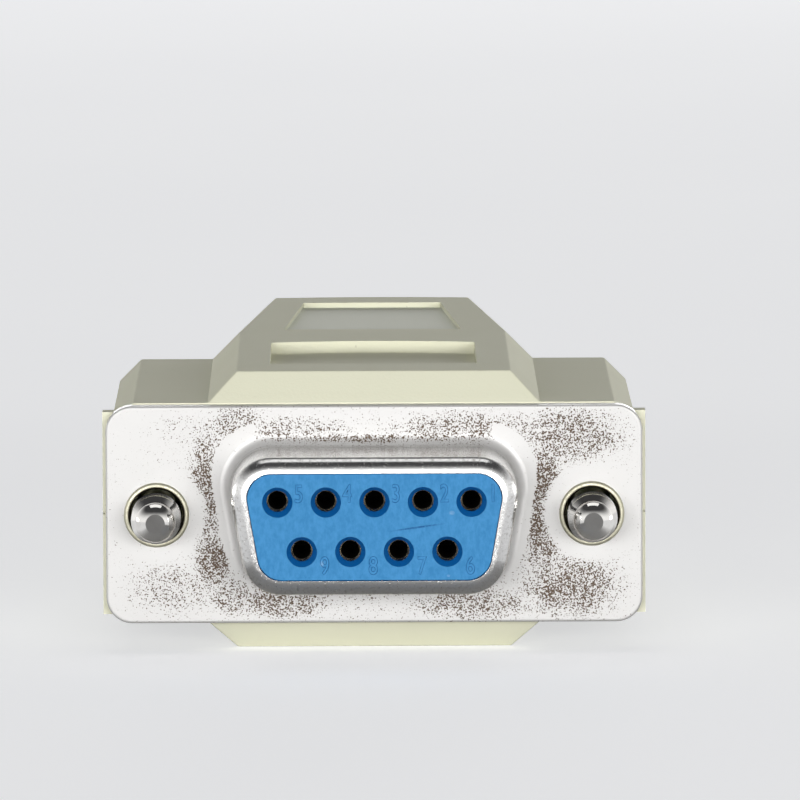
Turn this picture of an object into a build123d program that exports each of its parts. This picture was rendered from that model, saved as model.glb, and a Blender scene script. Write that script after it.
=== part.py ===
from build123d import *
import os
from math import cos, radians, sin

# Nine-way socket connector of the D-shaped family in a two-part cable hood.
# Frame: the origin is the centre of the flange's front face, +X is right seen
# from the mating side, +Y points rearwards to the cable and +Z is up.

# Shared clearances
SLIP = 0.05
RUNNING = 0.15
TRAVEL_PLAY = 0.3

# Contact field, which sets the size of all that surrounds it
WAYS_TOP = 5
PITCH = 2.76
ROW_SPACING = 2.84

# Two stamped shells: D cup and flange in front, box behind
SHEET = 0.5
SIDE_ANGLE = 10.0
CUP_SIDE = 2.645
CUP_ABOVE = 2.53
CUP_R = 2.3
CUP_WALL = 0.45
CUP_REACH = 6.1
CUP_ROOT_R = 0.7
RIM_R = 0.85
RIM_SIDE = 0.89
RIM_ABOVE = 0.87
WINDOW_R = 1.4
BOX_SIDE = 1.475
BOX_ABOVE = 1.41
BOX_R = 3.0
BOX_WALL = 0.4
BOX_DEPTH = 5.3
BOX_EDGE_R = 0.3
LIP_SIDE = 1.94
LIP_ABOVE = 1.56
LIP_R = 2.2
HOLE_SIDE = 4.33
FLANGE_END = 2.91
FLANGE_ABOVE = 0.915
FLANGE_R = 1.5
FLANGE_EDGE_R = 0.15

# Contacts and insulators
CONTACT_R = 0.83
BORE_R = 0.53
BORE_DEPTH = 5.5
CONTACT_SINK = 0.95
CONTACT_LEAD = 0.12
COLLAR_R = 1.1
COLLAR_L = 1.6
STEM_R = 0.85
SOLDER_TAIL = 3.8
SOLDER_R = 0.6
SOLDER_DEPTH = 3.2
SOLDER_CUT = 2.6
FACE_STEP = 0.15
LEAD_IN_R = 0.62
COUNTERSINK_R = 0.87
COUNTERSINK_DEPTH = 0.62
SEAT_L = 2.5
NOSE_L = 1.8

# Eyelets through the flange holes
EYELET_BORE_R = 1.525
EYELET_WALL = 0.2
EYELET_RIM = 0.145
EYELET_RIM_T = 0.2
EYELET_TAIL = 0.475
EYELET_TAIL_T = 0.4

# Jackscrews, knobs and retaining rings
THREAD_R = 1.42
TIP_REACH = 4.24
TIP_FLAT_R = 0.55
TIP_R = 1.16
TIP_L = 0.95
TIP_DOME = 0.64
TIP_BULGE = 0.08
LEAD_L = 0.25
SHANK_R = 1.1
GROOVE_DEPTH = 0.3
RING_RIM = 0.95
RING_T = 0.6
RING_GAP = 1.3
RING_SET = 7.0
TRAVEL = 4.5
KNOB_R = 2.7
KNOB_L = 10.5
KNOB_GAP = 0.4
KNOB_EDGE = 0.4
KNOB_BORE_L = 7.0
FLUTES = 14
FLUTE_R = 0.32
SLOT_W = 0.8
SLOT_DEPTH = 1.0

# Hood outside
COLLAR_OUT = 0.195
COLLAR_DOWN = 0.425
COLLAR_T = 1.2
EAR_INSET = 0.285
EAR_RISE = 0.075
EAR_CHAMFER = 1.28
EAR_L = 23.5
HUMP_INSET = 0.09
HUMP_RISE = 1.65
HUMP_TAIL = 20.1
REAR_INSET = 2.35
REAR_BOW = 0.8
REAR_CHAMFER = 1.32
EDGE_R = 0.2
SEAM_DEPTH = 0.12
SEAM_HALF_H = 0.07

# Grip recess and label recess, the same on the top and the underside
GRIP_SET = 3.95
GRIP_L = 11.4
GRIP_BOW = 0.8
GRIP_INSET = 3.55
GRIP_DEPTH = 0.65
GRIP_SCOOP = 0.5
LABEL_SET = 1.0
LABEL_MARGIN = 3.6
LABEL_INSET = 4.25
LABEL_REAR_INSET = 3.0
LABEL_DEPTH = 0.3

# Hood inside
POCKET_PLAY = 0.1
SIDE_WALL = 1.55
TOP_WALL = 1.6
REAR_WALL = 3.0
CHAMBER_TAPER_SET = 0.5
INLET_R = 4.0
INLET_EDGE = 0.6
EYELET_WEB = 0.7
PEG_R = 0.6
PEG_L = 1.2
PEG_LEAD = 0.2
PEG_SET = 9.5

# Screws that close the hood from below
SCREW_INSET = 2.5
SCREW_SET = 2.7
POST_R = 2.0
POST_RIB = 1.6
PILOT_L = 5.2
SCREW_R = 1.1
SCREW_HEAD_R = 1.9
SCREW_HEAD_L = 1.1
HEAD_SINK = 1.3
CROSS_W = 0.55
CROSS_L = 2.0
CROSS_DEPTH = 0.6

# Shell sizes that follow from the contact field
CUP_W = (WAYS_TOP - 1) * PITCH + 2 * CUP_SIDE
CUP_H = ROW_SPACING + 2 * CUP_ABOVE
WINDOW_W = CUP_W - 2 * RIM_SIDE
WINDOW_H = CUP_H - 2 * RIM_ABOVE
INNER_W = CUP_W - 2 * CUP_WALL
INNER_H = CUP_H - 2 * CUP_WALL
INNER_R = CUP_R - CUP_WALL
BOX_W = CUP_W + 2 * BOX_SIDE
BOX_H = CUP_H + 2 * BOX_ABOVE
BOX_IN_W = BOX_W - 2 * BOX_WALL
BOX_IN_H = BOX_H - 2 * BOX_WALL
BOX_IN_R = BOX_R - BOX_WALL
BOX_END = SHEET + BOX_DEPTH
LIP_W = BOX_W - 2 * LIP_SIDE
LIP_H = BOX_H - 2 * LIP_ABOVE
LIP_FRONT = BOX_END - BOX_WALL
HOLE_SPACING = CUP_W + 2 * HOLE_SIDE
FLANGE_W = HOLE_SPACING + 2 * FLANGE_END
FLANGE_H = BOX_H + 2 * FLANGE_ABOVE

# Insulators and contacts, in depths along the mating axis
SHOULDER = CUP_REACH - CUP_WALL - SLIP
FACE_REACH = CUP_REACH - FACE_STEP
JOINT_Y = SHEET + SEAT_L
NOSE_END = BOX_END + NOSE_L
CONTACT_FRONT = CONTACT_SINK - FACE_REACH
COLLAR_FRONT = JOINT_Y - COLLAR_L / 2
COLLAR_BACK = JOINT_Y + COLLAR_L / 2
SOLDER_END = NOSE_END + SOLDER_TAIL
CAVITY_R = CONTACT_R + SLIP
COLLAR_POCKET_R = COLLAR_R + SLIP

# Hood outside
HOOD_FRONT = 2 * SHEET
COLLAR_HALF_W = FLANGE_W / 2 + COLLAR_OUT
COLLAR_HALF_H = FLANGE_H / 2 - COLLAR_DOWN
EAR_HALF_W = FLANGE_W / 2 - EAR_INSET
EAR_HALF_H = FLANGE_H / 2 + EAR_RISE
EAR_BACK = HOOD_FRONT + EAR_L
HUMP_HALF_W = BOX_W / 2 - HUMP_INSET
HUMP_HALF_H = EAR_HALF_H + HUMP_RISE
REAR_Y = EAR_BACK + HUMP_TAIL
REAR_HALF_W = HUMP_HALF_W - REAR_INSET
GRIP_FRONT = HOOD_FRONT + HUMP_RISE + GRIP_SET
GRIP_BACK = GRIP_FRONT + GRIP_L
GRIP_HALF_W = HUMP_HALF_W - GRIP_INSET
LABEL_FRONT = EAR_BACK + LABEL_SET
LABEL_BACK = REAR_Y - LABEL_MARGIN
LABEL_FRONT_HALF_W = HUMP_HALF_W - LABEL_INSET
LABEL_BACK_HALF_W = REAR_HALF_W - LABEL_REAR_INSET

# Eyelets, jackscrews and their channel through the ears
EYELET_R = EYELET_BORE_R + EYELET_WALL
EYELET_RIM_R = EYELET_R + EYELET_RIM
EYELET_TAIL_R = EYELET_R + EYELET_TAIL
TAIL_FRONT = HOOD_FRONT + EYELET_WEB + SLIP
TAIL_BACK = TAIL_FRONT + EYELET_TAIL_T
TAIL_ROOM_R = EYELET_TAIL_R + RUNNING
CLEAR_R = THREAD_R + RUNNING
CLEAR_BACK = TRAVEL + 2 * TRAVEL_PLAY
GUIDE_R = SHANK_R + RUNNING
GROOVE_R = SHANK_R - GROOVE_DEPTH
RING_BORE_R = GROOVE_R + RUNNING
RING_R = SHANK_R + RING_RIM
RING_Y = CLEAR_BACK + RING_SET
RING_ROOM_R = RING_R + RUNNING
RING_ROOM_BACK = RING_Y + RING_T + TRAVEL + TRAVEL_PLAY
KNOB_FRONT = EAR_BACK + KNOB_GAP
KNOB_BACK = KNOB_FRONT + KNOB_L
SHANK_END = KNOB_FRONT + KNOB_BORE_L

# Hood inside and its closing screws
POCKET_BACK = BOX_END + POCKET_PLAY
CHAMBER_HALF_W = HUMP_HALF_W - SIDE_WALL
CHAMBER_HALF_H = HUMP_HALF_H - TOP_WALL
CHAMBER_TAPER_Y = EAR_BACK - CHAMBER_TAPER_SET
CHAMBER_BACK = REAR_Y - REAR_WALL
CHAMBER_BACK_HALF_W = REAR_HALF_W - SIDE_WALL
PEG_X = (CHAMBER_HALF_W + HOLE_SPACING / 2 - RING_ROOM_R) / 2
PEG_Y = EAR_BACK - PEG_SET
SCREW_X = CHAMBER_HALF_W - SCREW_INSET
SCREW_Y = EAR_BACK - SCREW_SET
RIB_X = (SCREW_X + CHAMBER_HALF_W) / 2
SCREW_HOLE_R = SCREW_R + RUNNING
SEAT_Z = HEAD_SINK - HUMP_HALF_H
SCREW_TIP = PILOT_L - TRAVEL_PLAY

HOLES = [(-HOLE_SPACING / 2, 0), (HOLE_SPACING / 2, 0)]
TOP_ROW = [(PITCH * ((WAYS_TOP - 1) / 2 - k), ROW_SPACING / 2) for k in range(WAYS_TOP)]
LOWER_ROW = [(x - PITCH / 2, -ROW_SPACING / 2) for x, z in TOP_ROW[:-1]]
CONTACTS = TOP_ROW + LOWER_ROW


def section(y):
    """Plane across the mating axis at depth y; extruding on it runs to the front."""
    return Plane.XZ.offset(-y)


def d_corners(width, height, radius):
    """Sharp corners of the D outline whose rounded form is width by height."""
    c, s = cos(radians(SIDE_ANGLE)), sin(radians(SIDE_ANGLE))
    reach = c * (width / 2 - radius) - s * (height / 2 - radius) + radius
    top = (reach + s * height / 2) / c
    low = (reach - s * height / 2) / c
    return [(-low, -height / 2), (low, -height / 2), (top, height / 2), (-top, height / 2)]


def octagon(half_w, half_h, chamfer):
    """Corners of an upright rectangle with its four corners cut at 45 degrees."""
    w, h = half_w - chamfer, half_h - chamfer
    return [
        (-w, -half_h), (w, -half_h), (half_w, -h), (half_w, h),
        (w, half_h), (-w, half_h), (-half_w, h), (-half_w, -h),
    ]


os.makedirs("parts", exist_ok=True)

# Front shell: flange with the drawn D cup that the mating plug slides over
with BuildPart() as front_shell:
    with BuildSketch(section(0)):
        RectangleRounded(FLANGE_W, FLANGE_H, FLANGE_R)
    extrude(amount=-SHEET)
    with BuildSketch(section(0)) as cup_sketch:
        Polygon(*d_corners(CUP_W, CUP_H, CUP_R), align=None)
        fillet(cup_sketch.vertices(), CUP_R)
    extrude(amount=CUP_REACH)
    root = front_shell.edges().filter_by_position(Axis.Y, -SLIP, SLIP)
    root = root.filter_by_position(Axis.X, -CUP_W / 2, CUP_W / 2)
    fillet(root.filter_by_position(Axis.Z, -CUP_H / 2, CUP_H / 2), CUP_ROOT_R)
    fillet(front_shell.faces().sort_by(Axis.Y)[0].edges(), RIM_R)
    border = front_shell.faces().filter_by(Axis.Y).sort_by(SortBy.AREA)[-2].outer_wire()
    fillet(border.edges(), FLANGE_EDGE_R)
    with BuildSketch(section(SHEET)) as inside_sketch:
        Polygon(*d_corners(INNER_W, INNER_H, INNER_R), align=None)
        fillet(inside_sketch.vertices(), INNER_R)
    extrude(amount=SHEET + CUP_REACH - CUP_WALL, mode=Mode.SUBTRACT)
    with BuildSketch(section(0)) as window_sketch:
        Polygon(*d_corners(WINDOW_W, WINDOW_H, WINDOW_R), align=None)
        fillet(window_sketch.vertices(), WINDOW_R)
    extrude(amount=CUP_REACH, mode=Mode.SUBTRACT)
    with BuildSketch(section(0)):
        with Locations(*HOLES):
            Circle(EYELET_R)
    extrude(amount=-SHEET, mode=Mode.SUBTRACT)
front_shell.part.label = "front_shell"
export_step(front_shell.part, "parts/front_shell.step")

# Rear shell: second flange with the box that holds the insulators
with BuildPart() as rear_shell:
    with BuildSketch(section(SHEET)):
        RectangleRounded(FLANGE_W, FLANGE_H, FLANGE_R)
    extrude(amount=-SHEET)
    with BuildSketch(section(SHEET)) as box_sketch:
        Polygon(*d_corners(BOX_W, BOX_H, BOX_R), align=None)
        fillet(box_sketch.vertices(), BOX_R)
    extrude(amount=-BOX_DEPTH)
    fillet(rear_shell.faces().sort_by(Axis.Y)[-1].edges(), BOX_EDGE_R)
    with BuildSketch(section(SHEET)) as box_in_sketch:
        Polygon(*d_corners(BOX_IN_W, BOX_IN_H, BOX_IN_R), align=None)
        fillet(box_in_sketch.vertices(), BOX_IN_R)
    extrude(amount=-(LIP_FRONT - SHEET), mode=Mode.SUBTRACT)
    with BuildSketch(section(SHEET)) as lip_sketch:
        Polygon(*d_corners(LIP_W, LIP_H, LIP_R), align=None)
        fillet(lip_sketch.vertices(), LIP_R)
    extrude(amount=-BOX_DEPTH, mode=Mode.SUBTRACT)
    with BuildSketch(section(SHEET)):
        with Locations(*HOLES):
            Circle(EYELET_R)
    extrude(amount=-SHEET, mode=Mode.SUBTRACT)
rear_shell.part.label = "rear_shell"
export_step(rear_shell.part, "parts/rear_shell.step")

# Front insulator: the face with nine countersunk lead-ins and its rear flange
with BuildPart() as front_insulator:
    with BuildSketch(section(SHEET)) as body_sketch:
        Polygon(*d_corners(INNER_W - 2 * SLIP, INNER_H - 2 * SLIP, INNER_R), align=None)
        fillet(body_sketch.vertices(), INNER_R)
    extrude(amount=SHEET + SHOULDER)
    with BuildSketch(section(0)) as face_sketch:
        Polygon(*d_corners(WINDOW_W - 2 * SLIP, WINDOW_H - 2 * SLIP, WINDOW_R), align=None)
        fillet(face_sketch.vertices(), WINDOW_R)
    extrude(amount=FACE_REACH)
    with BuildSketch(section(SHEET)) as seat_sketch:
        Polygon(*d_corners(BOX_IN_W - 2 * SLIP, BOX_IN_H - 2 * SLIP, BOX_IN_R), align=None)
        fillet(seat_sketch.vertices(), BOX_IN_R)
    extrude(amount=-(JOINT_Y - SHEET))
    with BuildSketch(section(-FACE_REACH)):
        with Locations(*CONTACTS):
            Circle(LEAD_IN_R)
    extrude(amount=-(FACE_REACH + JOINT_Y), mode=Mode.SUBTRACT)
    with BuildSketch(section(CONTACT_FRONT - SLIP)):
        with Locations(*CONTACTS):
            Circle(CAVITY_R)
    extrude(amount=-(JOINT_Y - CONTACT_FRONT + SLIP), mode=Mode.SUBTRACT)
    with BuildSketch(section(COLLAR_FRONT)):
        with Locations(*CONTACTS):
            Circle(COLLAR_POCKET_R)
    extrude(amount=-(JOINT_Y - COLLAR_FRONT), mode=Mode.SUBTRACT)
    with Locations(*[(x, COUNTERSINK_DEPTH / 2 - FACE_REACH, z) for x, z in CONTACTS]):
        Cone(
            LEAD_IN_R, COUNTERSINK_R, COUNTERSINK_DEPTH,
            rotation=(90, 0, 0), mode=Mode.SUBTRACT,
        )
front_insulator.part.label = "front_insulator"
export_step(front_insulator.part, "parts/front_insulator.step")

# Rear insulator: backs the front one and lets the solder cups through
with BuildPart() as rear_insulator:
    with BuildSketch(section(JOINT_Y)) as back_sketch:
        Polygon(*d_corners(BOX_IN_W - 2 * SLIP, BOX_IN_H - 2 * SLIP, BOX_IN_R), align=None)
        fillet(back_sketch.vertices(), BOX_IN_R)
    extrude(amount=-(LIP_FRONT - JOINT_Y))
    with BuildSketch(section(JOINT_Y)) as nose_sketch:
        Polygon(*d_corners(LIP_W - 2 * SLIP, LIP_H - 2 * SLIP, LIP_R), align=None)
        fillet(nose_sketch.vertices(), LIP_R)
    extrude(amount=-(NOSE_END - JOINT_Y))
    with BuildSketch(section(JOINT_Y)):
        with Locations(*CONTACTS):
            Circle(STEM_R + SLIP)
    extrude(amount=-(NOSE_END - JOINT_Y), mode=Mode.SUBTRACT)
    with BuildSketch(section(JOINT_Y)):
        with Locations(*CONTACTS):
            Circle(COLLAR_POCKET_R)
    extrude(amount=-(COLLAR_BACK - JOINT_Y), mode=Mode.SUBTRACT)
rear_insulator.part.label = "rear_insulator"
export_step(rear_insulator.part, "parts/rear_insulator.step")

# Nine socket contacts: bored front, trapped collar and a solder cup cut open
for number, (x, z) in enumerate(CONTACTS, start=1):
    opening = 1 if z > 0 else -1
    with BuildPart() as contact:
        with BuildSketch(section(CONTACT_FRONT)):
            with Locations((x, z)):
                Circle(CONTACT_R)
        extrude(amount=-(COLLAR_FRONT - CONTACT_FRONT))
        with BuildSketch(section(COLLAR_FRONT)):
            with Locations((x, z)):
                Circle(COLLAR_R)
        extrude(amount=-COLLAR_L)
        with BuildSketch(section(COLLAR_BACK)):
            with Locations((x, z)):
                Circle(STEM_R)
        extrude(amount=-(SOLDER_END - COLLAR_BACK))
        with BuildSketch(section(CONTACT_FRONT)):
            with Locations((x, z)):
                Circle(BORE_R)
        extrude(amount=-BORE_DEPTH, mode=Mode.SUBTRACT)
        mouth = contact.faces().sort_by(Axis.Y)[0].edges()
        chamfer(mouth.sort_by(SortBy.LENGTH)[0], CONTACT_LEAD)
        with BuildSketch(section(SOLDER_END)):
            with Locations((x, z)):
                Circle(SOLDER_R)
        extrude(amount=SOLDER_DEPTH, mode=Mode.SUBTRACT)
        with BuildSketch(section(SOLDER_END)):
            with Locations((x, z + opening * STEM_R)):
                Rectangle(2 * STEM_R, 2 * STEM_R)
        extrude(amount=SOLDER_CUT, mode=Mode.SUBTRACT)
    contact.part.label = f"contact_{number}"
    export_step(contact.part, f"parts/contact_{number}.step")

# Hood: both halves as one body first, split at the parting plane below
with BuildPart() as hood:
    with BuildSketch(section(HOOD_FRONT)):
        Polygon(*octagon(HUMP_HALF_W, HUMP_HALF_H, HUMP_RISE), align=None)
    extrude(amount=-EAR_L)
    with BuildSketch(section(EAR_BACK)):
        Polygon(*octagon(HUMP_HALF_W, HUMP_HALF_H, HUMP_RISE), align=None)
    with BuildSketch(section(REAR_Y)):
        Polygon(*octagon(REAR_HALF_W, HUMP_HALF_H, REAR_CHAMFER), align=None)
    loft(ruled=True)
    # bevel of the hump's front, above and below the flange
    with BuildSketch(Plane.YZ):
        Polygon(
            (HOOD_FRONT, EAR_HALF_H),
            (HOOD_FRONT + HUMP_RISE, HUMP_HALF_H),
            (HOOD_FRONT, HUMP_HALF_H),
            align=None,
        )
        mirror(about=Plane.XZ)
    extrude(amount=HUMP_HALF_W, both=True, mode=Mode.SUBTRACT)
    # slightly bowed rear end
    bow_x = REAR_HALF_W + REAR_BOW
    bow_y = REAR_Y - REAR_BOW
    with BuildSketch(Plane.XY):
        with BuildLine():
            ThreePointArc((-bow_x, bow_y), (0, REAR_Y), (bow_x, bow_y))
            Polyline(
                (bow_x, bow_y), (bow_x, REAR_Y + REAR_BOW),
                (-bow_x, REAR_Y + REAR_BOW), (-bow_x, bow_y),
            )
        make_face()
    extrude(amount=HUMP_HALF_H, both=True, mode=Mode.SUBTRACT)
    crests = hood.edges().filter_by(lambda e: abs(e.center().Z) > EAR_HALF_H + SLIP)
    flanks = hood.edges().filter_by(lambda e: e.center().Y > EAR_BACK + SLIP)
    fillet(set(crests + flanks), EDGE_R)
    # ears with chamfered outer edges
    with BuildSketch(section(HOOD_FRONT)):
        Polygon(*octagon(EAR_HALF_W, EAR_HALF_H, EAR_CHAMFER), align=None)
    extrude(amount=-EAR_L)
    ear_edges = hood.edges().filter_by(lambda e: abs(e.center().X) > EAR_HALF_W - 2 * EAR_CHAMFER)
    fillet(ear_edges.filter_by(lambda e: e.center().Y > HOOD_FRONT + SLIP), EDGE_R)
    # collar that the flange rests on
    with BuildSketch(section(HOOD_FRONT)):
        Rectangle(2 * COLLAR_HALF_W, 2 * COLLAR_HALF_H)
    extrude(amount=-COLLAR_T)
    # grip recess with a bowed rear wall and label recess, above and below
    for level, inward in ((HUMP_HALF_H, -1), (-HUMP_HALF_H, 1)):
        grip_z = level + inward * GRIP_DEPTH
        with BuildSketch(Plane.XY.offset(level)):
            with BuildLine():
                ThreePointArc(
                    (-GRIP_HALF_W, GRIP_BACK),
                    (0, GRIP_BACK + GRIP_BOW),
                    (GRIP_HALF_W, GRIP_BACK),
                )
                Polyline(
                    (GRIP_HALF_W, GRIP_BACK), (GRIP_HALF_W, GRIP_FRONT),
                    (-GRIP_HALF_W, GRIP_FRONT), (-GRIP_HALF_W, GRIP_BACK),
                )
            make_face()
        extrude(amount=inward * GRIP_DEPTH, mode=Mode.SUBTRACT)
        floor = hood.faces().filter_by_position(Axis.Z, grip_z - SLIP, grip_z + SLIP)
        fillet(floor.edges().sort_by(Axis.Y)[-1], GRIP_SCOOP)
        with BuildSketch(Plane.XY.offset(level)):
            Polygon(
                (-LABEL_FRONT_HALF_W, LABEL_FRONT), (LABEL_FRONT_HALF_W, LABEL_FRONT),
                (LABEL_BACK_HALF_W, LABEL_BACK), (-LABEL_BACK_HALF_W, LABEL_BACK),
                align=None,
            )
        extrude(amount=inward * LABEL_DEPTH, mode=Mode.SUBTRACT)
    # pocket for the rear shell's box and the wiring chamber behind it
    with BuildSketch(section(HOOD_FRONT)) as pocket_sketch:
        Polygon(
            *d_corners(BOX_W + 2 * POCKET_PLAY, BOX_H + 2 * POCKET_PLAY, BOX_R),
            align=None,
        )
        fillet(pocket_sketch.vertices(), BOX_R)
    extrude(amount=-(POCKET_BACK - HOOD_FRONT), mode=Mode.SUBTRACT)
    with BuildSketch(section(POCKET_BACK)):
        Rectangle(2 * CHAMBER_HALF_W, 2 * CHAMBER_HALF_H)
    extrude(amount=-(CHAMBER_TAPER_Y - POCKET_BACK), mode=Mode.SUBTRACT)
    with BuildSketch(section(CHAMBER_TAPER_Y)):
        Rectangle(2 * CHAMBER_HALF_W, 2 * CHAMBER_HALF_H)
    with BuildSketch(section(CHAMBER_BACK)):
        Rectangle(2 * CHAMBER_BACK_HALF_W, 2 * CHAMBER_HALF_H)
    loft(ruled=True, mode=Mode.SUBTRACT)
    with BuildSketch(section(REAR_Y)):
        Circle(INLET_R)
    extrude(amount=REAR_WALL, mode=Mode.SUBTRACT)
    inlet = hood.faces().filter_by(GeomType.CYLINDER).filter_by(lambda f: abs(f.radius - INLET_R) < SLIP)
    fillet(inlet.edges().sort_by(Axis.Y)[-1], INLET_EDGE)
    # fine groove all round, where the two halves will meet
    seam_x = REAR_HALF_W - SEAM_DEPTH
    seam_y = REAR_Y - REAR_BOW * (seam_x / bow_x) ** 2 - SEAM_DEPTH
    plan = [
        (COLLAR_HALF_W - SEAM_DEPTH, 0),
        (COLLAR_HALF_W - SEAM_DEPTH, HOOD_FRONT + COLLAR_T - SEAM_DEPTH),
        (EAR_HALF_W - SEAM_DEPTH, HOOD_FRONT + COLLAR_T - SEAM_DEPTH),
        (EAR_HALF_W - SEAM_DEPTH, EAR_BACK - SEAM_DEPTH),
        (HUMP_HALF_W - SEAM_DEPTH, EAR_BACK - SEAM_DEPTH),
        (seam_x, seam_y),
    ]
    mirrored_plan = [(-x, y) for x, y in reversed(plan)]
    with BuildSketch(Plane.XY):
        with Locations((0, REAR_Y / 2)):
            Rectangle(3 * COLLAR_HALF_W, 2 * REAR_Y)
        with BuildLine():
            Polyline(*plan)
            ThreePointArc(plan[-1], (0, REAR_Y - SEAM_DEPTH), mirrored_plan[0])
            Polyline(*mirrored_plan)
            Line(mirrored_plan[-1], plan[0])
        make_face(mode=Mode.SUBTRACT)
    extrude(amount=SEAM_HALF_H, both=True, mode=Mode.SUBTRACT)
    # posts for the closing screws, ribbed to the chamber's sides
    with BuildSketch():
        with Locations((-SCREW_X, SCREW_Y), (SCREW_X, SCREW_Y)):
            Circle(POST_R)
        with Locations((-RIB_X, SCREW_Y), (RIB_X, SCREW_Y)):
            Rectangle(CHAMBER_HALF_W - SCREW_X, POST_RIB)
    extrude(amount=CHAMBER_HALF_H, both=True)
    # jackscrew channels through the ears, from the flange to the knobs
    for front, back, radius in (
        (HOOD_FRONT, HOOD_FRONT + EYELET_WEB, EYELET_R + 2 * SLIP),
        (HOOD_FRONT + EYELET_WEB, TAIL_BACK + SLIP, TAIL_ROOM_R),
        (TAIL_BACK + SLIP, CLEAR_BACK, CLEAR_R),
        (CLEAR_BACK, EAR_BACK, GUIDE_R),
        (RING_Y - SLIP, RING_ROOM_BACK, RING_ROOM_R),
    ):
        with BuildSketch(section(front)):
            with Locations(*HOLES):
                Circle(radius)
        extrude(amount=-(back - front), mode=Mode.SUBTRACT)

# Upper half with its locating pegs and blind screw holes
with BuildPart() as hood_upper:
    add(hood.part)
    split(bisect_by=Plane.XY, keep=Keep.TOP)
    with BuildSketch(Plane.XY):
        with Locations((-PEG_X, PEG_Y), (PEG_X, PEG_Y)):
            Circle(PEG_R)
    extrude(amount=-PEG_L)
    chamfer(hood_upper.faces().sort_by(Axis.Z)[0:2].edges(), PEG_LEAD)
    with BuildSketch(Plane.XY):
        with Locations((-SCREW_X, SCREW_Y), (SCREW_X, SCREW_Y)):
            Circle(SCREW_R)
    extrude(amount=PILOT_L, mode=Mode.SUBTRACT)
hood_upper.part.label = "hood_upper"
export_step(hood_upper.part, "parts/hood_upper.step")

# Lower half with peg holes, screw clearance holes and sunk head seats
with BuildPart() as hood_lower:
    add(hood.part)
    split(bisect_by=Plane.XY, keep=Keep.BOTTOM)
    with BuildSketch(Plane.XY):
        with Locations((-PEG_X, PEG_Y), (PEG_X, PEG_Y)):
            Circle(PEG_R + SLIP)
    extrude(amount=-(PEG_L + PEG_LEAD), mode=Mode.SUBTRACT)
    with BuildSketch(Plane.XY):
        with Locations((-SCREW_X, SCREW_Y), (SCREW_X, SCREW_Y)):
            Circle(SCREW_HOLE_R)
    extrude(amount=-HUMP_HALF_H, mode=Mode.SUBTRACT)
    with BuildSketch(Plane.XY.offset(-HUMP_HALF_H)):
        with Locations((-SCREW_X, SCREW_Y), (SCREW_X, SCREW_Y)):
            Circle(SCREW_HEAD_R + RUNNING)
    extrude(amount=HEAD_SINK, mode=Mode.SUBTRACT)
hood_lower.part.label = "hood_lower"
export_step(hood_lower.part, "parts/hood_lower.step")

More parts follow.
